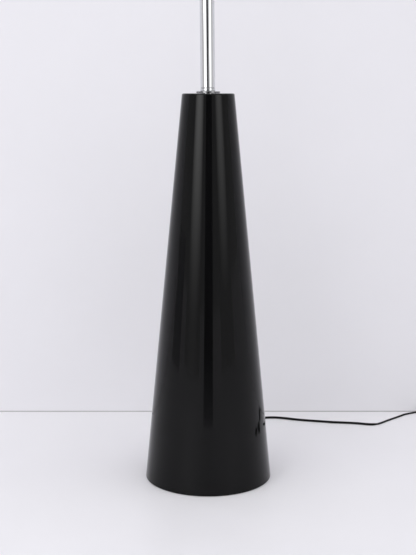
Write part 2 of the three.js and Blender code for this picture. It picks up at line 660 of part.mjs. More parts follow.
function addPlug() {
  const group = new THREE.Group();
  group.position.set(PLUG_CENTRE_X, PLUG_REAR, 0);
  lamp.add(group);
  const middle = 7.2; // height of the pins
  const pinSpacing = 9.3; // from the middle to each pin
  const face = -35;
  const halfOutline = [[7, 0], [13, -12], [13, face + 2], [11, face]];
  const mirrored = halfOutline.map(([x, y]) => [-x, y]).reverse();
  const corners = [...mirrored, ...halfOutline].map(([x, y]) => new THREE.Vector2(x, y));
  const outline = new THREE.Shape(corners);
  const noseOutline = [[0, -3], [5.6, -3], [CORD_TIP, 22], [0, 22]];
  const nose = alongY(turned(noseOutline, 16)).translate(0, 0, middle);
  place(group, 'plug_body', joined(raised(outline, 0.4, 14), nose), blackPlastic());

  const pinRoot = face - GAP;
  const pinTip = pinRoot - 19;
  for (const [name, side] of [['plug_pin_left', -1], ['plug_pin_right', 1]]) {
    const pin = turned([[0, pinTip], [1.4, pinTip], [2, pinTip + 1.8], [2, pinRoot], [0, pinRoot]], 12);
    place(group, name, alongY(pin).translate(pinSpacing * side, 0, middle), chrome());
  }
}

addBase();
addStem();
addArm();
addHead();
addCord();
addSwitch();
addPlug();

export default lamp;
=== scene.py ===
import json
import math

import bmesh
import bpy
from mathutils import Matrix, Vector


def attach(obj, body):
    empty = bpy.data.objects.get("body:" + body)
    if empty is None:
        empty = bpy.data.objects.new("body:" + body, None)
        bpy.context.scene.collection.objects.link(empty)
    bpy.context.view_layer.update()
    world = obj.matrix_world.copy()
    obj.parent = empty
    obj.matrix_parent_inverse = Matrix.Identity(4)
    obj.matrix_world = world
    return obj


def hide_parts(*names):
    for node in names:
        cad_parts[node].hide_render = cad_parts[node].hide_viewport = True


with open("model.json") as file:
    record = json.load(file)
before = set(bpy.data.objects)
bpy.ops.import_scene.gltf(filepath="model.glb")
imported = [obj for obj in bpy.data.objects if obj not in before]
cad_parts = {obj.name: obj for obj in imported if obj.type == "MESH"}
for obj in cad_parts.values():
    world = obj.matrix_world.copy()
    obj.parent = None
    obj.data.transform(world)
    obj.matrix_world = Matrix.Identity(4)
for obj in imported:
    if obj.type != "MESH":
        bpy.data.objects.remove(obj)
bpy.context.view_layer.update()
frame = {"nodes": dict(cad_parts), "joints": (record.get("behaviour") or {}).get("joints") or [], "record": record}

MM = 0.001  # every size below is in millimetres, and meshes are made in metres

# ---------------------------------------------------------------- sizes shared with the CAD model
BASE_RADIUS = 112.5  # base cone at the floor
TOP_RADIUS = 45  # base cone at its flat top
BASE_HEIGHT = 680
SHELL_THICKNESS = 1.5
SHELL_FOOT = 0.8  # the shell stops this far above the floor
EDGE_RADIUS = 3  # rounded edge around the flat top
PAD_RADIUS = 106
PAD_HEIGHT = 3
CORD_WIDTH = 4.9
CORD_THICKNESS = 3.0
CORD_EXIT_HEIGHT = 20
CORD_TIP = 3.4  # radius of the moulded end where it meets the cord
GLAND_FLANGE = 111.9  # where the gland's flange starts, behind the axis
GLAND_LENGTH = 38
GLAND_RADIUS = 6  # where it passes through the shell
STEM_RADIUS = 12.5
STEM_BORE = 11.3
STEM_TOP = 1180
SPIGOT_FOOT = 484.5  # lower end of the turned piece that carries the stem
SPIGOT_RADIUS = 12
SHOULDER_LOW = 683.9  # its shoulder shows as a short ring under the stem
SHOULDER_HIGH = 688.6
ARM_RADIUS = 10.9
ARM_BORE = 9.5
ARM_FOOT = 900  # lower end of the arm, inside the stem
ARC_START = 1240  # height at which the arm begins to bend
ARC_RADIUS = 600
ARC_TURN = math.radians(140)
ARM_END_LENGTH = 40  # straight stretch after the bend
KNUCKLE_REACH = 24  # from the arm's end to the tilt pin
TONGUE_HALF = 4  # half the thickness of the knuckle's tongue
YOKE_HALF = 10  # half the width of the shade's yoke
NIPPLE_HOLE = 5.4
SHADE_RADIUS = 170
SHADE_HEIGHT = 163  # height of the dome above its straight rim
SHADE_LIP = 6  # straight rim
SHADE_TOP = -62  # top of the shade below the tilt pin
SHADE_THICKNESS = 0.9
CLAMP_SCREW_HEIGHT = 1188
SCREW_RADIUS = 3  # the clamp screw and the tilt pin
SCREW_HOLE = 3.4
COIL_CENTRE = Vector((478, 178))
COIL_OUTER_TURN = 34  # radius of the outermost turn's middle
COIL_PITCH = 3.2
COIL_TURNS = 8
COIL_LAYER_HEIGHTS = (3.35, 8.35)
SWITCH_CENTRE = Vector((512, 292))
PLUG_CENTRE_X = 512
PLUG_REAR = 106  # y of the flat rear of the plug's body
PLUG_MIDDLE = 7.2  # height of the pins' axes

joint = {j["name"]: j for j in frame["joints"]}
pivot = Vector(joint["stem_swivel"]["pos_m"])
stem_axis = Vector(joint["stem_swivel"]["axis"])
LEANING = Matrix.Translation(pivot) @ Vector((0, 0, 1)).rotation_difference(stem_axis).to_matrix().to_4x4()
LEANING = LEANING @ Matrix.Translation(-pivot)
HEAD = Matrix.Translation(Vector(joint["shade_tilt"]["pos_m"]))
UPRIGHT = Matrix.Identity(4)


# ---------------------------------------------------------------- mesh helpers
def new_object(name, data):
    """An object in the scene, from a mesh, a camera or a light."""
    made = bpy.data.objects.new(name, data)
    bpy.context.scene.collection.objects.link(made)
    return made


def piece(name, vertices, faces, body, material, slot, replaced, place=UPRIGHT, sharp=35):
    """Makes a mesh from points in millimetres, puts it in place and ties it to its CAD body."""
    mesh = bpy.data.meshes.new(name)
    mesh.from_pydata([tuple(Vector(v) * MM) for v in vertices], [], faces)
    mesh.transform(place)
    mesh.validate()
    outward(mesh)
    mesh.shade_smooth()
    mesh.set_sharp_from_angle(angle=math.radians(sharp))
    mesh.materials.append(material)
    made = new_object(name, mesh)
    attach(made, body)
    if replaced:
        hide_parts(*replaced)
    return made


def softened(points, radius, closed=False, steps=4):
    """Rounds each corner of an outline. The two ends of an open outline stay as they are.
    A holding point on each side of a corner keeps the long flat faces beside it flat in the light."""
    points = [Vector(p) for p in points]
    count = len(points)
    result = [] if closed else [points[0]]
    for i in range(count) if closed else range(1, count - 1):
        before, here, after = points[i - 1], points[i], points[(i + 1) % count]
        reach_in = min(radius, (before - here).length * 0.45)
        reach_out = min(radius, (after - here).length * 0.45)
        back, ahead = (before - here).normalized(), (after - here).normalized()
        if (before - here).length > 4 * reach_in:
            result.append(here + back * reach_in * 1.4)
        for k in range(steps + 1):
            t = k / steps
            result.append(here + back * (reach_in * (1 - t) ** 2) + ahead * (reach_out * t * t))
        if (after - here).length > 4 * reach_out:
            result.append(here + ahead * reach_out * 1.4)
    if not closed:
        result.append(points[-1])
    return result


def grid_faces(rows, columns, closed_rows=False, closed_columns=True):
    faces = []
    for i in range(rows if closed_rows else rows - 1):
        for j in range(columns if closed_columns else columns - 1):
            a, b = i * columns + j, i * columns + (j + 1) % columns
            c, d = ((i + 1) % rows) * columns + (j + 1) % columns, ((i + 1) % rows) * columns + j
            faces.append((a, b, c, d))
    return faces


def turned(profile, sides=96, lobes=0, lobe_depth=0.0):
    """Turns (radius, height) points about the Z axis. The outer side of the profile runs upwards.
    A profile that starts and ends on the axis gives a solid body, and any other closes on itself."""
    solid = profile[0][0] < 1e-6
    ringed = profile[1:-1] if solid else profile
    vertices = []
    for radius, height in ringed:
        for j in range(sides):
            angle = 2 * math.pi * j / sides
            reach = radius * (1 - lobe_depth * (0.5 - 0.5 * math.cos(lobes * angle)))
            vertices.append((reach * math.cos(angle), reach * math.sin(angle), height))
    faces = grid_faces(len(ringed), sides, closed_rows=not solid)
    if solid:
        bottom, top = len(vertices), len(vertices) + 1
        vertices += [(0, 0, profile[0][1]), (0, 0, profile[-1][1])]
        last = (len(ringed) - 1) * sides
        for j in range(sides):
            faces.append((bottom, (j + 1) % sides, j))
            faces.append((top, last + j, last + (j + 1) % sides))
    return vertices, faces


def lofted(sections):
    """Joins rings of points, each with the same number of points, and closes both ends."""
    columns = len(sections[0])
    vertices = [p for section in sections for p in section]
    faces = grid_faces(len(sections), columns)
    faces.append(tuple(reversed(range(columns))))
    faces.append(tuple(range(len(vertices) - columns, len(vertices))))
    return vertices, faces


def moved(shape, matrix):
    vertices, faces = shape
    return [matrix @ Vector(v) for v in vertices], faces


def rounded_rectangle(width, length, corner, steps=8):
    points = []
    for x_side, y_side, start in ((1, 1, 0), (-1, 1, 90), (-1, -1, 180), (1, -1, 270)):
        for k in range(steps + 1):
            angle = math.radians(start + 90 * k / steps)
            x = x_side * (width / 2 - corner) + corner * math.cos(angle)
            points.append((x, y_side * (length / 2 - corner) + corner * math.sin(angle)))
    return points


def half_turn(start, end, steps=24):
    """Evenly spaced angles, given in degrees and returned in radians."""
    return [math.radians(start + (end - start) * k / steps) for k in range(steps + 1)]


def smooth_route(points, spacing):
    """One smooth curve through the given points, as evenly spaced points."""
    points = [Vector(p) for p in points]
    padded = [points[0] * 2 - points[1], *points, points[-1] * 2 - points[-2]]
    fine = []
    for before, a, b, after in zip(padded, padded[1:], padded[2:], padded[3:]):
        for k in range(12):
            t = k / 12
            left = a * 2 + (b - before) * t + (before * 2 - a * 5 + b * 4 - after) * t**2
            fine.append((left + (a * 3 - before - b * 3 + after) * t**3) * 0.5)
    fine.append(points[-1])
    result, run = [fine[0]], 0.0
    for a, b in zip(fine, fine[1:]):
        run += (b - a).length
        if run >= spacing:
            result.append(b)
            run = 0.0
    if (result[-1] - fine[-1]).length < spacing / 2:
        result.pop()
    result.append(fine[-1])
    return result


def eased(t):
    """From 0 to 1 with a gentle start and end."""
    t = min(1, max(0, t))
    return t * t * (3 - 2 * t)


# ---------------------------------------------------------------- carving helpers
def object_from(shape):
    vertices, faces = shape
    mesh = bpy.data.meshes.new("shape")
    mesh.from_pydata([tuple(v) for v in vertices], [], faces)
    mesh.validate()
    made = new_object("shape", mesh)
    bpy.context.view_layer.objects.active = made
    outward(mesh)
    return made


def outward(mesh):
    """Turns every face of a closed mesh to the outside."""
    worked = bmesh.new()
    worked.from_mesh(mesh)
    bmesh.ops.recalc_face_normals(worked, faces=worked.faces)
    worked.to_mesh(mesh)
    worked.free()


def carved(shape, steps, bevel=0.0):
    """Joins or cuts closed shapes in turn, then rounds the edges by the bevel."""
    base = object_from(shape)
    tools = []
    for operation, other in steps:
        tools.append(object_from(other))
        modifier = base.modifiers.new("carve", "BOOLEAN")
        modifier.operation = operation
        modifier.object = tools[-1]
        modifier.solver = "EXACT"
    if bevel:
        modifier = base.modifiers.new("edge", "BEVEL")
        modifier.width = bevel
        modifier.segments = 3
        modifier.limit_method = "ANGLE"
        modifier.angle_limit = math.radians(40)
    evaluated = base.evaluated_get(bpy.context.evaluated_depsgraph_get())
    mesh = evaluated.to_mesh()
    result = [v.co.copy() for v in mesh.vertices], [tuple(p.vertices) for p in mesh.polygons]
    for used in [base, *tools]:
        bpy.data.objects.remove(used)
    return result


def bar(radius, low, high, sides=48):
    return turned([(0, low), (radius, low), (radius, high), (0, high)], sides)


def slab(outline, low, high):
    return lofted([[(x, y, z) for x, y in outline] for z in (low, high)])


ALONG_X = Matrix.Rotation(math.pi / 2, 4, "Y")
ALONG_Y = Matrix.Rotation(-math.pi / 2, 4, "X")
STANDING = Matrix.Rotation(math.pi / 2, 4, "X")  # turns an outline in X and Y up into X and Z


def shifted(x, y, z):
    return Matrix.Translation(Vector((x, y, z)))


def placed(x, y, z):
    """A place in the lamp's frame, from millimetres."""
    return Matrix.Translation(Vector((x, y, z)) * MM)


# ---------------------------------------------------------------- camera
CAMERA_PLACE = (-0.4, -1888, 689.4)  # in millimetres
CAMERA_DOWN = 9.86  # degrees below the horizon
CAMERA_LENS = 70.83

camera = new_object("camera", bpy.data.cameras.new("camera"))
camera.location = Vector(CAMERA_PLACE) * MM
camera.rotation_euler = (math.radians(90 - CAMERA_DOWN), 0, 0)
camera.data.lens = CAMERA_LENS
camera.data.sensor_width = 36
camera.data.clip_start = 0.01
bpy.context.scene.camera = camera


# ---------------------------------------------------------------- materials
class Nodes:
    """A short way to write a node tree: add(type, input values...) and link by passing sockets."""

    def __init__(self, tree):
        self.tree = tree
        tree.nodes.clear()

    def add(self, kind, inputs=(), **settings):
        node = self.tree.nodes.new(kind)
        for key, value in settings.items():
            setattr(node, key, value)
        for key, value in dict(inputs).items():
            if isinstance(value, bpy.types.NodeSocket):
                self.tree.links.new(value, node.inputs[key])
            else:
                node.inputs[key].default_value = value
        return node

    def blend(self, factor, first, second):
        """A colour between two others, each a colour or a socket."""
        mix = self.add("ShaderNodeMix", {"Factor": factor}, data_type="RGBA")
        for socket, value in zip([i for i in mix.inputs if i.type == "RGBA"], (first, second)):
            if isinstance(value, bpy.types.NodeSocket):
                self.tree.links.new(value, socket)
            else:
                socket.default_value = value
        return next(o for o in mix.outputs if o.type == "RGBA")


def blank(name):
    """A new material and its empty node tree."""
    made = bpy.data.materials.new(name)
    made.use_nodes = True
    return made, Nodes(made.node_tree)


def surface(name, color, roughness, grain=60, stretch=(1, 1, 1), tint=0.15, bump=0.02, bump_grain=400,
            wear=0.0, **shader):
    """A finish whose colour and roughness drift over the surface, with fine relief.
    roughness is (lowest, highest), and wear pales the colour in sparse specks."""
    made, nodes = blank(name)
    place = nodes.add("ShaderNodeTexCoord").outputs["Object"]
    spread = nodes.add("ShaderNodeMapping", {"Vector": place, "Scale": stretch}).outputs["Vector"]
    drift = nodes.add("ShaderNodeTexNoise", {"Vector": spread, "Scale": grain, "Detail": 4.0}).outputs["Fac"]
    fine = nodes.add(
        "ShaderNodeTexNoise", {"Vector": spread, "Scale": bump_grain, "Detail": 3.0}).outputs["Fac"]
    low = [c * (1 - tint) for c in color] + [1]
    high = [min(1, c * (1 + tint)) for c in color] + [1]
    paint = nodes.blend(drift, low, high)
    if wear:
        specks = nodes.add(
            "ShaderNodeMapRange", {"Value": fine, "From Min": 0.66, "From Max": 0.8, "To Max": wear})
        pale = [min(1, c * 2.5 + 0.02) for c in color] + [1]
        paint = nodes.blend(specks.outputs["Result"], paint, pale)
    gloss = nodes.add("ShaderNodeMapRange", {
        "Value": drift, "From Min": 0.3, "From Max": 0.7, "To Min": roughness[0], "To Max": roughness[1]})
    relief = nodes.add("ShaderNodeBump", {"Height": fine, "Strength": bump, "Distance": 0.0005})
    principled = nodes.add("ShaderNodeBsdfPrincipled", {
        "Base Color": paint, "Roughness": gloss.outputs["Result"], "Normal": relief.outputs["Normal"],
        **shader})
    nodes.add("ShaderNodeOutputMaterial", {"Surface": principled.outputs["BSDF"]})
    return made


# The cone was rolled and rubbed down lengthwise, so its relief runs up and down.
cone_lacquer = surface(
    "cone_lacquer", (0.003, 0.003, 0.0033), (0.05, 0.09), grain=9, stretch=(1, 1, 0.12), bump=0.04,
    bump_grain=60, IOR=1.25)
shade_lacquer = surface(
    "shade_lacquer", (0.003, 0.003, 0.0033), (0.06, 0.10), grain=12, bump=0.02, bump_grain=300, IOR=1.26)
shade_white = surface("shade_white", (0.86, 0.85, 0.82), (0.35, 0.5), grain=20, tint=0.03, bump=0.05)
tube_chrome = surface(
    "tube_chrome", (0.68, 0.685, 0.70), (0.03, 0.06), grain=15, stretch=(1, 1, 0.1), tint=0.02, bump=0.004,
    Metallic=1.0)
fitting_chrome = surface(
    "fitting_chrome", (0.62, 0.625, 0.64), (0.05, 0.11), grain=80, tint=0.04, bump=0.02, Metallic=1.0)
washer_steel = surface(
    "washer_steel", (0.27, 0.27, 0.28), (0.12, 0.2), grain=90, tint=0.06, bump=0.03, Metallic=1.0)
plain_steel = surface(
    "plain_steel", (0.45, 0.46, 0.47), (0.25, 0.45), grain=120, tint=0.12, bump=0.1, Metallic=1.0)
brass = surface("brass", (0.62, 0.45, 0.18), (0.18, 0.34), grain=90, tint=0.1, bump=0.05, Metallic=1.0)
bulb_metal = surface(
    "bulb_metal", (0.68, 0.68, 0.66), (0.15, 0.3), grain=90, tint=0.06, bump=0.05, Metallic=1.0)
opal = surface(
    "bulb_opal", (0.9, 0.89, 0.85), (0.25, 0.33), grain=30, tint=0.02, bump=0.01,
    **{"Subsurface Weight": 0.3, "Subsurface Scale": 0.01})
concrete = surface("concrete", (0.36, 0.35, 0.33), (0.8, 0.95), grain=45, tint=0.2, bump=0.6, bump_grain=250)
nylon = surface("nylon", (0.78, 0.76, 0.68), (0.4, 0.55), grain=60, tint=0.04, bump=0.05)
holder_plastic = surface(
    "holder_plastic", (0.018, 0.018, 0.018), (0.35, 0.5), grain=70, bump=0.12, wear=0.15)
knob_plastic = surface(
    "knob_plastic", (0.008, 0.008, 0.008), (0.3, 0.42), grain=90, bump=0.2, wear=0.1, IOR=1.38)
switch_plastic = surface(
    "switch_plastic", (0.007, 0.007, 0.007), (0.2, 0.34), grain=60, bump=0.1, wear=0.1, IOR=1.38)
pad_rubber = surface("pad_rubber", (0.02, 0.02, 0.02), (0.7, 0.85), grain=80, bump=0.4, wear=0.2)
gland_rubber = surface("gland_rubber", (0.014, 0.014, 0.014), (0.5, 0.65), grain=80, bump=0.2, wear=0.1)
cord_vinyl = surface(
    "cord_vinyl", (0.0035, 0.0035, 0.0036), (0.34, 0.46), grain=120, bump=0.1, bump_grain=700, IOR=1.26)


# ---------------------------------------------------------------- cord
def ringed(count, start, pitch, radius, taper, ring, groove):
    """The outline of a strain relief that is cut into flexible rings, as (radius, distance) points."""
    outline = []
    for k in range(count):
        near, reach = start + pitch * k, radius - taper * k
        outline += [(reach, near), (reach - 0.1, near + ring)]
        outline += [(reach - groove, near + ring + 0.2), (reach - groove, near + pitch - 0.2)]
    return outline


def flat_cord(name, path, on_edge, replaced):
    """A flat two-core cord. Along the path, on_edge is 1 where the wide side stands and 0 where it lies."""
    section = []
    flat = (CORD_WIDTH - CORD_THICKNESS) / 2
    round_end = CORD_THICKNESS / 2
    for side, start in ((1, -90), (-1, 90)):
        for angle in half_turn(start, start + 180, 7):
            section.append((side * flat + round_end * math.cos(angle), round_end * math.sin(angle)))
    rings = []
    for i, point in enumerate(path):
        ahead = (path[min(i + 1, len(path) - 1)] - path[max(i - 1, 0)]).normalized()
        side = ahead.cross(Vector((0, 0, 1))).normalized()
        up = side.cross(ahead).normalized()
        turn = math.pi / 2 * on_edge[i]
        wide = side * math.cos(turn) + up * math.sin(turn)
        thin = ahead.cross(wide).normalized()
        rings.append([point + wide * w + thin * t for w, t in section])
    vertices, faces = lofted(rings)
    return piece(name, vertices, faces, "base", cord_vinyl, "cord_vinyl", replaced, sharp=60)


ROUTE_SPACING = 3
FLAT_FROM, FLAT_TO = 340, 470  # where along X the lamp's cord lies on its wide side
FLOOR_GAP = 0.05
LAMP_ROUTE = [
    (0, 150.2, 20), (0, 163, 19.2), (2, 182, 14.5), (8, 207, 8), (19, 234, 4), (36, 262, 2.7),
    (60, 292.5, 2.5), (88, 319, 2.5), (112, 332, 2.5), (136, 336.5, 2.5), (161, 331.5, 2.5),
    (185, 322, 2.5), (210, 315, 2.5), (234, 309.5, 2.5), (259, 303.5, 2.5), (283, 300.5, 2.5),
    (308, 296, 2.5), (332, 289, 2.5), (345, 289.5, 2.3), (358, 299, 1.7), (373, 315, 1.6),
    (388, 330, 1.6), (403, 344.5, 1.6), (419, 360.5, 1.6), (434, 370.5, 1.6), (448, 377.5, 1.6),
    (462, 381.5, 1.6), (477, 381.5, 1.8), (491, 376.5, 2.4), (502.5, 366, 3.2), (509.5, 357, 4.4),
    (511.7, 353, 5), (512, 349, 5),
]


def lies_between(x, start, end, twist=14):
    """1, on edge, outside the stretch from start to end, and 0, flat, inside it, with a twist between."""
    return 1 - eased((x - start) / twist) * (1 - eased((x - end) / twist))


lamp_path = smooth_route(LAMP_ROUTE, ROUTE_SPACING)
lamp_on_edge = [lies_between(p.x, FLAT_FROM, FLAT_TO) for p in lamp_path]
for point, stands in zip(lamp_path, lamp_on_edge):  # it rests on the floor however it is turned
    half_height = CORD_THICKNESS / 2 + (CORD_WIDTH - CORD_THICKNESS) / 2 * math.sin(stands * math.pi / 2)
    point.z = max(point.z, half_height + FLOOR_GAP)
lamp_cord = flat_cord("lamp_flex", lamp_path, lamp_on_edge, ["lamp_cord"])


def coil_point(turns):
    """A point on the coil: inwards along the lower layer, then outwards along the upper one."""
    half = COIL_TURNS / 2
    radius = COIL_OUTER_TURN - COIL_PITCH * (half - abs(turns - half))
    climb = eased((turns - half + 0.4) / 0.8)
    low, high = COIL_LAYER_HEIGHTS
    angle = -2 * math.pi * turns
    x = COIL_CENTRE.x + radius * math.cos(angle)
    return Vector((x, COIL_CENTRE.y + radius * math.sin(angle), low + (high - low) * climb))


TO_COIL = [
    (512, 235, 5), (512, 229, 4.2), (512, 220, 2.9), (512, 210, 2.6), (512, 199, 2.8), (512, 188, 3.2)]
TO_PLUG = [
    (512, 168, 8), (512, 159, 7.4), (512, 150, 6.4), (512, 141, 6.1), (512, 134, 6.7), (512, 128.5, 7.2)]
STEPS_A_TURN = 48
coil_turns = [coil_point(i / STEPS_A_TURN) for i in range(COIL_TURNS * STEPS_A_TURN + 1)]
plug_path = smooth_route(TO_COIL + [coil_turns[0]], ROUTE_SPACING)[:-1] + coil_turns
plug_path += smooth_route([coil_turns[-1]] + TO_PLUG, ROUTE_SPACING)[1:]
plug_cord = flat_cord("plug_flex", plug_path, [1] * len(plug_path), ["plug_cord", "cord_coil", "plug_tail"])


# ---------------------------------------------------------------- base
def outer_radius(height):
    return BASE_RADIUS + (TOP_RADIUS - BASE_RADIUS) * height / BASE_HEIGHT


def make_cone():
    slope = math.atan2(BASE_RADIUS - TOP_RADIUS, BASE_HEIGHT)
    profile = softened([
        (outer_radius(120) - SHELL_THICKNESS, 120), (outer_radius(SHELL_FOOT) - SHELL_THICKNESS, SHELL_FOOT),
        (outer_radius(SHELL_FOOT), SHELL_FOOT), (outer_radius(120), 120)], 0.6)
    profile += [Vector((outer_radius(z), z)) for z in range(140, 661, 20)]
    centre = outer_radius(BASE_HEIGHT - EDGE_RADIUS) - EDGE_RADIUS / math.cos(slope)
    for k in range(13):
        angle = slope + (math.pi / 2 - slope) * k / 12
        height = BASE_HEIGHT - EDGE_RADIUS + EDGE_RADIUS * math.sin(angle)
        profile.append(Vector((centre + EDGE_RADIUS * math.cos(angle), height)))
    inside = BASE_HEIGHT - SHELL_THICKNESS
    profile += softened([(30, BASE_HEIGHT), (15, BASE_HEIGHT), (15, inside), (30, inside)], 0.4)
    profile += [Vector((outer_radius(inside) - SHELL_THICKNESS - 2, inside))]
    profile += [Vector((outer_radius(z) - SHELL_THICKNESS, z)) for z in range(660, 139, -20)]
    piece("cone_shell", *turned(profile, 192), "base", cone_lacquer, "cone_lacquer", ["base_cone"])


def make_base():
    make_cone()
    washer = softened([(13.6, 680.3), (20.3, 680.3), (20.3, 683.4), (13.6, 683.4)], 0.8, closed=True)
    piece("foot_washer", *turned(washer), "base", washer_steel, "fitting_chrome", ["collar_washer"])
    pad = [(0, 0), (PAD_RADIUS, 0), (PAD_RADIUS, PAD_HEIGHT), (0, PAD_HEIGHT)]
    piece("ribbed_pad", *turned(softened(pad, 1.2), 128), "base", pad_rubber, "pad_rubber", ["floor_pad"])
    flange_back, end = GLAND_FLANGE + 2.5, GLAND_FLANGE + GLAND_LENGTH
    rings = ringed(7, GLAND_FLANGE + 6, 4.4, 5.3, 0.29, 2.9, 1.2)
    gland = [
        (0, 108), (GLAND_RADIUS, 108), (GLAND_RADIUS, GLAND_FLANGE), (9, GLAND_FLANGE), (9, flange_back),
        (5.9, flange_back), *rings, (CORD_TIP, end - 1), (CORD_TIP, end), (0, end)]
    made = moved(turned(softened(gland, 0.5), 48), shifted(0, 0, CORD_EXIT_HEIGHT) @ ALONG_Y)
    piece("cord_strain_relief", *made, "base", gland_rubber, "gland_rubber", ["cord_gland"])


# ---------------------------------------------------------------- stem and clamp
def make_stem():
    neck = STEM_BORE - 0.3
    spigot = softened([
        (5, SPIGOT_FOOT), (SPIGOT_RADIUS, SPIGOT_FOOT), (SPIGOT_RADIUS, SHOULDER_LOW),
        (STEM_RADIUS + 0.2, SHOULDER_LOW), (STEM_RADIUS + 0.2, SHOULDER_HIGH), (neck, SHOULDER_HIGH),
        (neck, 728), (5, 728)], 0.7, closed=True)
    piece(
        "stem_ferrule", *turned(spigot), "stem", fitting_chrome, "fitting_chrome", ["stem_spigot"], LEANING)
    low = SHOULDER_HIGH + 0.5
    pipe = [(STEM_BORE, low), (STEM_RADIUS, low), (STEM_RADIUS, STEM_TOP), (STEM_BORE, STEM_TOP)]
    pipe = softened(pipe, 0.5, closed=True)
    piece("stem_pipe", *turned(pipe, 128), "stem", tube_chrome, "tube_chrome", ["stem_tube"], LEANING)
    low, high = STEM_TOP - 20, STEM_TOP + 16
    collar = softened([
        (12.8, low), (17, low), (17, low + 3.5), (16.4, low + 4), (16.4, high - 4), (17, high - 3.5),
        (17, high), (11.3, high), (11.3, STEM_TOP + 0.3), (12.8, STEM_TOP + 0.3)], 0.8, closed=True)
    piece("clamp_body", *turned(collar), "stem", fitting_chrome, "fitting_chrome", ["clamp_collar"], LEANING)
    wheel = thumb_wheel(13, 20, 34, 8)
    place = LEANING @ placed(0, 0, CLAMP_SCREW_HEIGHT) @ ALONG_X
    piece("clamp_wheel", *wheel, "clamp_screw", knob_plastic, "knob_plastic", ["clamp_knob"], place)


def thumb_wheel(radius, low, high, lobes):
    """A lobed thumb wheel with a dished face and a collar round its screw."""
    profile = [
        (3.3, low), (6.5, low), (6.5, low + 2), (radius, low + 2.6), (radius, high - 0.6),
        (radius * 0.55, high), (radius * 0.45, high - 1.2), (0.01, high - 1.2), (0.01, high - 3),
        (3.3, high - 4.5)]
    return turned(softened(profile, 1.1, closed=True), 128, lobes, 0.12)


# ---------------------------------------------------------------- arm
ARC_END = Vector((ARC_RADIUS * (math.cos(ARC_TURN) - 1), 0, ARC_START + ARC_RADIUS * math.sin(ARC_TURN)))
OUTWARD = Vector((-math.sin(ARC_TURN), 0, math.cos(ARC_TURN)))


def arm_ring(run, radius, sides):
    """A ring of points round the arm's centre line, at a distance along it from its foot."""
    straight, arc = ARC_START - ARM_FOOT, ARC_RADIUS * ARC_TURN
    turn = min(ARC_TURN, max(0, (run - straight) / ARC_RADIUS))
    if run <= straight:
        centre = Vector((0, 0, ARM_FOOT + run))
    elif run <= straight + arc:
        centre = Vector((ARC_RADIUS * (math.cos(turn) - 1), 0, ARC_START + ARC_RADIUS * math.sin(turn)))
    else:
        centre = ARC_END + OUTWARD * (run - straight - arc)
    across = Vector((math.cos(turn), 0, math.sin(turn)))
    ring = []
    for k in range(sides):
        angle = 2 * math.pi * k / sides
        ring.append(centre + across * (radius * math.cos(angle)) + Vector((0, radius * math.sin(angle), 0)))
    return ring


def make_arm():
    total = ARC_START - ARM_FOOT + ARC_RADIUS * ARC_TURN + ARM_END_LENGTH
    steps, sides = 240, 64
    runs = [total * i / steps for i in range(steps + 1)]
    rings = [arm_ring(run, ARM_RADIUS, sides) for run in runs]
    rings += [arm_ring(run, ARM_BORE, sides) for run in reversed(runs)]
    vertices = [p for ring in rings for p in ring]
    faces = grid_faces(len(rings), sides, closed_rows=True)
    piece("arm_pipe", vertices, faces, "arm", tube_chrome, "tube_chrome", ["arm_tube"], LEANING)

    end = ARC_END + OUTWARD * ARM_END_LENGTH
    place = LEANING @ placed(*end) @ Matrix.Rotation(math.pi - ARC_TURN, 4, "Y")
    cup = turned(softened([
        (0, -7), (13.4, -7), (13.4, 25), (12.8, 26), (12.8, 28), (13.4, 29), (13.4, 32), (11.3, 32),
        (11.3, -0.3), (0, -0.3)], 1.2), 96)
    round_tip = [(9 * math.cos(a), -KNUCKLE_REACH + 9 * math.sin(a)) for a in half_turn(0, -180)]
    tongue = [(9, -5), *round_tip, (-9, -5)]
    steps = [("UNION", moved(slab(tongue, -TONGUE_HALF, TONGUE_HALF), STANDING)),
             ("DIFFERENCE", moved(bar(SCREW_HOLE, -20, 20), shifted(0, 0, -KNUCKLE_REACH) @ ALONG_Y))]
    knuckle = carved(cup, steps, 0.4)
    piece("arm_joint", *knuckle, "arm", fitting_chrome, "fitting_chrome", ["arm_knuckle"], place)


# ---------------------------------------------------------------- head
def make_joint_pieces():
    ears = [(11 * math.cos(a), 11 * math.sin(a)) for a in half_turn(0, 180)] + [(-11, -26), (11, -26)]
    slot = TONGUE_HALF + 0.4  # half the slot that the knuckle's tongue goes into
    steps = [
        ("UNION", bar(9, -34, -20)),
        ("DIFFERENCE", slab([(20, slot), (-20, slot), (-20, -slot), (20, -slot)], -15, 30)),
        ("DIFFERENCE", moved(bar(SCREW_HOLE, -20, 20), ALONG_Y)),
        ("DIFFERENCE", bar(5.2, -40, -20)),
    ]
    yoke = carved(moved(slab(ears, -YOKE_HALF, YOKE_HALF), STANDING), steps, 0.5)
    piece("yoke", *yoke, "head", fitting_chrome, "fitting_chrome", ["shade_yoke"], HEAD)
    bolt = softened([
        (0, -12.6), (2.2, -12.6), (2.8, -13.4), (5.4, -13.4), (6, -12.4), (6, -YOKE_HALF - 0.3),
        (SCREW_RADIUS, -YOKE_HALF - 0.3), (SCREW_RADIUS, 19), (0, 19)], 0.5)
    bolt = moved(turned(bolt, 48), ALONG_Y)
    piece("tilt_bolt", *bolt, "head", plain_steel, "plain_steel", ["tilt_pin"], HEAD)
    wheel = moved(thumb_wheel(11, 10.4, 23, 8), ALONG_Y)
    piece("tilt_wheel", *wheel, "tilt_knob", knob_plastic, "knob_plastic", ["tilt_knob"], HEAD)


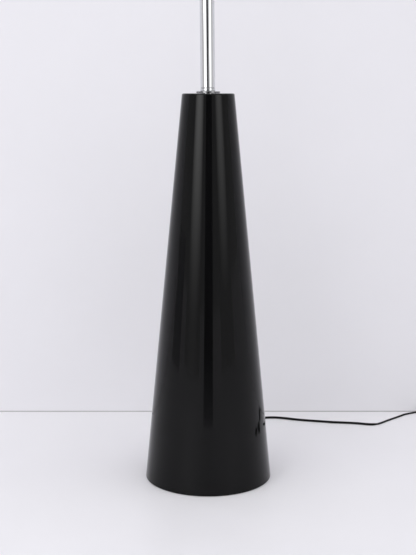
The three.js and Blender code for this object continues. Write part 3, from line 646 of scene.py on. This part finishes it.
def make_shade():
    rim = SHADE_TOP - SHADE_HEIGHT
    foot = rim - SHADE_LIP
    crown_radius = 26  # where the dome meets its flat top
    last = math.acos(crown_radius / SHADE_RADIUS)
    scale = SHADE_HEIGHT / math.sin(last)
    inner = SHADE_RADIUS - SHADE_THICKNESS
    angles = [last * k / 48 for k in range(49)]
    inner_scale = scale - SHADE_THICKNESS
    outside = [Vector((SHADE_RADIUS * math.cos(a), rim + scale * math.sin(a))) for a in angles]
    inside = [Vector((inner * math.cos(a), rim + inner_scale * math.sin(a))) for a in reversed(angles)]
    bead = 1.6  # the rim is rolled over
    rolled = []
    for angle in half_turn(-180, 40, 14):
        radius = SHADE_RADIUS - 0.6 + bead * math.cos(angle)
        rolled.append(Vector((radius, foot + bead + bead * math.sin(angle))))
    profile = [Vector((inner, foot + 3.6)), *rolled, Vector((SHADE_RADIUS, foot + 3.8)), *outside]
    hole = [Vector((NIPPLE_HOLE, SHADE_TOP)), Vector((NIPPLE_HOLE, SHADE_TOP - SHADE_THICKNESS))]
    profile += [*hole, *inside]
    dome = turned(profile, 192)
    made = piece("dome_shade", *dome, "head", shade_lacquer, "shade_lacquer", ["shade"], HEAD)
    made.data.materials.append(shade_white)
    axis = HEAD.translation
    white_from = axis.z + (foot + 3.5) * MM
    for face in made.data.polygons:
        across = Vector((face.center.x - axis.x, face.center.y, 0)).normalized()
        if face.center.z > white_from and face.normal.dot(across + Vector((0, 0, 1))) < 0:
            face.material_index = 1

    top = -34.3
    cap = softened([
        (30.9, SHADE_TOP + 0.3), (32, SHADE_TOP + 0.3), (32, top - 18), (29, top - 11), (22, top - 4),
        (14, top), (NIPPLE_HOLE, top), (NIPPLE_HOLE, top - 1.1), (13.6, top - 1.1), (21.3, top - 5),
        (28.1, top - 11.7), (30.9, top - 18.4)], 3, closed=True)
    piece("shade_rose", *turned(cap), "head", fitting_chrome, "fitting_chrome", ["shade_cap"], HEAD)


def make_lampholder():
    top = SHADE_TOP - SHADE_THICKNESS - 3.6
    split, low = top - 18, top - 54
    cap = softened([
        (18.5, split + 0.3), (20, split + 0.3), (20, top - 4), (15, top), (5.3, top), (5.3, top - 3),
        (17, top - 3), (18.5, top - 5)], 1.5, closed=True)
    piece("holder_top", *turned(cap), "head", holder_plastic, "holder_plastic", ["holder_cap"], HEAD)
    ribs = []
    for k in range(6):  # finger grooves round the skirt
        start = low + 4 + 5 * k
        ribs += [(20, start), (20, start + 3.4), (19.3, start + 3.8), (19.3, start + 4.6)]
    body = softened([
        (17, low), (19, low), (20, low + 3), *ribs, (20, split), (6, split), (6, split - 4),
        (15.6, split - 4), (15.6, low + 2)], 0.5, closed=True)
    piece("holder_skirt", *turned(body), "head", holder_plastic, "holder_plastic", ["holder_body"], HEAD)

    neck = low - 1
    ridges = []
    for k in range(6):  # the bulb's screw thread
        start = neck + 2 + 3.2 * k
        ridges += [(13.0, start), (13.4, start + 0.8), (13.0, start + 1.6), (12.4, start + 2.4)]
    cap = softened([
        (0, neck + 0.3), (13.2, neck + 0.3), *ridges, (12.6, split - 13), (8, split - 9), (4, split - 8),
        (0, split - 8)], 0.5, steps=3)
    piece("bulb_thread", *turned(cap), "head", bulb_metal, "bulb_metal", ["bulb_cap"], HEAD)
    centre = neck - 54
    outline = [(0, centre - 30)]
    outline += [(30 * math.cos(a), centre + 30 * math.sin(a)) for a in half_turn(-88, 22, 28)]
    shoulder = outline[-1]
    for k in range(1, 17):  # an easy curve from the globe to the neck
        t = k / 16
        radius = shoulder[0] + (14 - shoulder[0]) * eased(t)
        outline.append((radius, shoulder[1] + (neck - 6 - shoulder[1]) * t))
    outline += [(14, neck - 1), (13.4, neck), (0, neck)]
    piece("bulb_globe", *turned(outline), "head", opal, "bulb_opal", ["bulb_glass"], HEAD, sharp=50)


# ---------------------------------------------------------------- foot switch, plug and tie
def make_switch():
    place = placed(SWITCH_CENTRE.x, SWITCH_CENTRE.y, 0)
    width, length, corner = 38, 74, 17
    outline = rounded_rectangle
    tray = lofted([[(x, y, z) for x, y in outline(width - 2 * inset, length - 2 * inset, corner - inset)]
                   for inset, z in ((1.2, 0.3), (0.4, 0.7), (0, 1.6), (0, 7.6), (0.3, 8))])
    hollow = [("DIFFERENCE", slab(rounded_rectangle(33, 56, 14), 2.5, 10))]
    tray = carved(tray, hollow)
    parts = [piece("switch_tray", *tray, "base", switch_plastic, "switch_plastic", ["switch_base"], place)]
    rings = ringed(5, 37.2, 3.8, 4.9, 0.27, 2.4, 1.1)
    sleeve = turned(softened([(0, 36.7), (4.9, 36.7), *rings, (3.5, 56.2), (0, 56.2)], 0.3, steps=3), 40)
    sleeves = []
    for name, turn in (("rear", 0), ("front", math.pi)):
        made = moved(sleeve, shifted(0, 0, 5) @ Matrix.Rotation(turn, 4, "Z") @ ALONG_Y)
        sleeves.append(piece(
            f"switch_sleeve_{name}", *made, "base", gland_rubber, "switch_plastic", ["switch_base"], place))
    layers = [(0.3, 8.3), (0, 8.7), (0, 12.5), (0.5, 15), (1.6, 17.2), (3.4, 18.8), (6, 19.7), (8.5, 20)]
    lid = lofted([[(x, y, z) for x, y in outline(width - 2 * inset, length - 2.4 * inset, corner - inset)]
                  for inset, z in layers])
    steps = [("DIFFERENCE", bar(11.5, 5, 30, 64)),
             ("DIFFERENCE", slab(rounded_rectangle(31, 56, 14), 5, 17.4)),
             ("DIFFERENCE", moved(bar(5.5, -70, 70, 40), shifted(0, 0, 5) @ ALONG_Y))]
    lid = carved(lid, steps, 0.3)
    parts.append(
        piece("switch_lid", *lid, "base", switch_plastic, "switch_plastic", ["switch_cover"], place))
    rings = []
    for k in range(4):  # grip rings on the button
        radius = 8.6 - 1.9 * k
        rings += [(radius, 25), (radius - 0.3, 24.5), (radius - 0.8, 24.5), (radius - 1.1, 25)]
    key = turned(softened([
        (0, 14.3), (13, 14.3), (13, 16.7), (11, 16.7), (11, 23.6), (9.6, 25), *rings, (0, 25)], 0.4))
    parts.append(
        piece("switch_key", *key, "foot_button", switch_plastic, "switch_plastic", ["switch_button"], place))
    return parts + sleeves


def make_plug():
    def section(width, height, corner, y):
        return [(x, y, PLUG_MIDDLE + z) for x, z in rounded_rectangle(width, height, corner)]

    shapes = [(6.8, 6.8, 3.4, 22)]
    for k in range(5):  # ringed strain relief
        wide = 7.6 + 0.7 * k
        y = 20.5 - 4 * k
        shapes += [(wide, wide, wide / 2, y), (wide, wide, wide / 2, y - 2.4)]
        shapes += [(wide - 2, wide - 2, wide / 2 - 1, y - 2.7), (wide - 2, wide - 2, wide / 2 - 1, y - 3.7)]
    shapes += [
        (13, 11, 5, -0.4), (14.5, 12.4, 5, -1.4), (19.5, 13.4, 4.5, -6), (25, 13.6, 4, -11.5),
        (26, 13.6, 3.6, -14), (26, 13.6, 3.6, -31), (25.4, 13, 3.4, -33.6), (22, 10.6, 3, -35)]
    body = lofted([section(*shape) for shape in shapes])
    place = placed(PLUG_CENTRE_X, PLUG_REAR, 0)
    made = [piece("plug_moulding", *body, "base", switch_plastic, "switch_plastic", ["plug_body"], place)]
    for name, side in (("left", -1), ("right", 1)):
        pin = softened([
            (0, -54.3), (1.5, -54.3), (2, -52.8), (2, -44.6), (1.95, -44.5), (1.95, -35.3), (0, -35.3)], 0.5)
        pin = moved(turned(pin, 40), shifted(9.3 * side, 0, PLUG_MIDDLE) @ ALONG_Y)
        prong = piece(
            f"plug_prong_{name}", *pin, "base", bulb_metal, "bulb_metal", [f"plug_pin_{name}"], place)
        prong.data.materials.append(switch_plastic)
        for face in prong.data.polygons:  # the half nearest the body is sleeved
            if face.center.y > (PLUG_REAR - 44.6) * MM:
                face.material_index = 1
        made.append(prong)
    return made


def make_tie():
    middle = sum(COIL_LAYER_HEIGHTS) / 2
    inner = COIL_OUTER_TURN - COIL_PITCH * COIL_TURNS / 2
    width = COIL_OUTER_TURN - inner + CORD_THICKNESS
    height = 2 * (middle - 0.1)
    loops = []
    for y, inset in ((-3.4, 0.15), (-3.1, 0), (3.1, 0), (3.4, 0.15), (3.4, 0.65), (-3.4, 0.65)):
        outline = rounded_rectangle(width + 2.6 - 2 * inset, height - 2 * inset, 2.2 - inset, 6)
        loops.append([(x, y, middle + z) for x, z in outline])
    vertices = [p for loop in loops for p in loop]
    faces = grid_faces(len(loops), len(loops[0]), closed_rows=True)
    place = placed(COIL_CENTRE.x - (COIL_OUTER_TURN + inner) / 2, COIL_CENTRE.y, 0)
    return piece("coil_strap", vertices, faces, "base", gland_rubber, "gland_rubber", ["cord_tie"], place)


make_base()
make_stem()
make_arm()
make_joint_pieces()
make_shade()
make_lampholder()
switch_parts = make_switch()
plug_parts = make_plug()
coil_strap = make_tie()

# ---------------------------------------------------------------- CAD pieces that stay
CARRIED = {
    "plain_steel": plain_steel, "concrete": concrete, "nylon": nylon, "brass": brass,
    "cord_vinyl": cord_vinyl, "holder_plastic": holder_plastic, "fitting_chrome": fitting_chrome,
    "tube_chrome": tube_chrome, "pad_rubber": pad_rubber, "gland_rubber": gland_rubber,
    "switch_plastic": switch_plastic, "knob_plastic": knob_plastic, "bulb_metal": bulb_metal,
    "bulb_opal": opal, "cone_lacquer": cone_lacquer, "shade_lacquer": shade_lacquer,
}
for part in frame["record"]["subparts"]:
    node = frame["nodes"][part["node"]]
    for material_slot in node.material_slots:
        material_slot.material = CARRIED[part["material_slot"]]

# ---------------------------------------------------------------- floor, wall and light
WALL_PLACE = 0.3853  # metres behind the lamp's axis
FAR = 40.0
HORIZON_LIGHT = 0.66  # how bright the room is at the height of the eyes
OVERHEAD_LIGHT = 1.37
FLOOR_COLOR = (0.775, 0.768, 0.80)
WALL_COLOR = (0.83, 0.822, 0.862)
# colour of the painted shade along the foot of the wall, where it meets the floor
FOOT_SHADE_COLOR = (0.5, 0.49, 0.5)
FAR_COLOR = (0.79, 0.785, 0.82, 1)  # what shows past the floor and the wall


def stage_plane(name, corners, material, place=UPRIGHT):
    """A flat backdrop, from corners in metres."""
    mesh = bpy.data.meshes.new(name)
    mesh.from_pydata(corners, [], [(0, 1, 2, 3)])
    mesh.materials.append(material)
    made = new_object(name, mesh)
    made.matrix_world = place
    return made


def upright(left, right, y, low, high):
    """The corners of a standing rectangle that faces the camera, or away from it if left is above right."""
    return [(left, y, low), (right, y, low), (right, y, high), (left, y, high)]


def only_reflected(made):
    """Shows in polished surfaces, and neither lights nor shades anything else."""
    made.visible_camera = False
    made.visible_shadow = False
    made.visible_diffuse = False


def place_of(nodes):
    """The X, Y and Z of a point on the object, as sockets."""
    place = nodes.add("ShaderNodeTexCoord").outputs["Object"]
    return nodes.add("ShaderNodeSeparateXYZ", {"Vector": place}).outputs


def one_way(material):
    """Lets the back of a wall be seen through, so that the lamp can be looked at from behind."""
    tree = material.node_tree
    output = next(n for n in tree.nodes if n.type == "OUTPUT_MATERIAL")
    front = output.inputs["Surface"].links[0].from_socket
    mix = tree.nodes.new("ShaderNodeMixShader")
    clear = tree.nodes.new("ShaderNodeBsdfTransparent")
    side = tree.nodes.new("ShaderNodeNewGeometry")
    tree.links.new(side.outputs["Backfacing"], mix.inputs[0])
    tree.links.new(front, mix.inputs[1])
    tree.links.new(clear.outputs[0], mix.inputs[2])
    tree.links.new(mix.outputs[0], output.inputs["Surface"])


def panel(name, azimuth, distance, width, full_height, peak):
    """A tall soft light, brightest along its middle, which fades towards the floor to the room's brightness.
    Azimuth 0 is the camera's side, and positive is to the right."""
    glow, nodes = blank(name)
    place = place_of(nodes)
    side_share, foot_share = 0.22, 0.16  # of the brightness at the middle and at the top
    offset = nodes.add("ShaderNodeMath", {0: place["X"], 1: 2 / width}, operation="MULTIPLY")
    hump = nodes.add("ShaderNodeMath", {0: offset.outputs[0], 1: offset.outputs[0]}, operation="MULTIPLY")
    hump = nodes.add("ShaderNodeMapRange", {"Value": hump.outputs[0], "To Min": 1.0, "To Max": side_share})
    ramp = nodes.add("ShaderNodeMapRange", {
        "Value": place["Z"], "From Min": 0.2, "From Max": full_height, "To Min": foot_share,
        "To Max": 1.0}, interpolation_type="SMOOTHSTEP")
    strength = nodes.add("ShaderNodeMath", {0: hump.outputs[0], 1: ramp.outputs[0]}, operation="MULTIPLY")
    strength = nodes.add("ShaderNodeMath", {0: strength.outputs[0], 1: peak}, operation="MULTIPLY")
    strength = nodes.add("ShaderNodeMath", {0: strength.outputs[0], 1: HORIZON_LIGHT}, operation="MAXIMUM")
    light = nodes.add("ShaderNodeEmission", {"Strength": strength.outputs[0]})
    nodes.add("ShaderNodeOutputMaterial", {"Surface": light.outputs[0]})
    turn = Matrix.Rotation(math.radians(azimuth), 4, "Z")
    side = width / 2
    only_reflected(stage_plane(name, upright(side, -side, -distance, 0.05, 2.3), glow, turn))


def fading_black(name):
    """Black that pales towards the floor."""
    made, nodes = blank(name)
    tone = nodes.add("ShaderNodeMapRange", {
        "Value": place_of(nodes)["Z"], "From Min": 0.0, "From Max": 0.17, "To Min": 0.42, "To Max": 0.02})
    paint = nodes.add("ShaderNodeBsdfPrincipled", {"Base Color": tone.outputs["Result"], "Roughness": 0.85})
    nodes.add("ShaderNodeOutputMaterial", {"Surface": paint.outputs["BSDF"]})
    return made


floor_paint = surface("floor_paint", FLOOR_COLOR, (0.45, 0.6), grain=5, tint=0.03, bump=0.01)
wall_paint = surface("wall_paint", WALL_COLOR, (0.7, 0.8), grain=3, tint=0.04, bump=0.01)
# painted shade for the strip at the foot of the wall, blotchy through its strong tint
painted_foot_shade = surface("painted_foot_shade", FOOT_SHADE_COLOR, (0.7, 0.8), grain=3, tint=0.3, bump=0.01)
one_way(wall_paint)
one_way(painted_foot_shade)
stage_plane("floor", [(-FAR, -FAR, 0), (FAR, -FAR, 0), (FAR, FAR, 0), (-FAR, FAR, 0)], floor_paint)
stage_plane("wall", upright(-FAR, FAR, WALL_PLACE, 0, 6), wall_paint)
# A thin grey strip at the foot of the wall: painted shade where the wall meets the floor.
stage_plane("wall_foot_shadow", upright(-FAR, FAR, WALL_PLACE - 0.0003, 0, 0.0024), painted_foot_shade)

panel("left_panel", -36.5, 2.2, 1.4, 1.15, 5.6)
panel("right_panel", 45, 2.4, 1.4, 1.15, 3.4)
# Dark shapes that only reflections see: the camera's side of the room, and something low to the left.
black_card = fading_black("black_card")
grey_card = surface("grey_card", (0.40, 0.40, 0.41), (0.8, 0.9), grain=5, tint=0.05)
cards = {
    "dark_card": (black_card, [(0.2, -1.25, 0), (-0.2, -1.25, 0), (-0.2, -1.25, 1.6), (0.42, -1.25, 1.6)]),
    "low_card": (grey_card, [(-2.2, -1.0, 0), (-2.2, -0.1, 0), (-2.2, -0.1, 0.5), (-2.2, -1.0, 0.5)]),
}
for name, (paint, corners) in cards.items():
    only_reflected(stage_plane(name, corners, paint))

# A broad soft light up to the left of the camera, which gives the lamp its faint shadow to the right.
key = new_object("key_light", bpy.data.lights.new("key_light", "AREA"))
key.data.shape = "SQUARE"
key.data.size = 1.6
key.data.energy = 12
key.location = (-1.4, -2.0, 2.3)
key.rotation_euler = (Vector((0, 0, 0.4)) - key.location).to_track_quat("-Z", "Y").to_euler()
key.visible_camera = False
key.visible_glossy = False

world = bpy.data.worlds.new("studio")
bpy.context.scene.world = world
world.use_nodes = True
sky = Nodes(world.node_tree)
direction = sky.add("ShaderNodeTexCoord").outputs["Generated"]
height = sky.add("ShaderNodeSeparateXYZ", {"Vector": direction}).outputs["Z"]
ramp = sky.add("ShaderNodeMapRange", {
    "Value": height, "From Min": 0.25, "From Max": 0.6, "To Min": HORIZON_LIGHT,
    "To Max": OVERHEAD_LIGHT}).outputs["Result"]
lit = sky.add("ShaderNodeBackground", {"Color": (1, 1, 1, 1), "Strength": ramp}).outputs["Background"]
seen = sky.add("ShaderNodeBackground", {"Color": FAR_COLOR, "Strength": 1.0}).outputs["Background"]
camera_ray = sky.add("ShaderNodeLightPath").outputs["Is Camera Ray"]
mixed = sky.add("ShaderNodeMixShader", {0: camera_ray, 1: lit, 2: seen}).outputs["Shader"]
sky.add("ShaderNodeOutputWorld", {"Surface": mixed})

bpy.context.scene.view_settings.view_transform = "Standard"
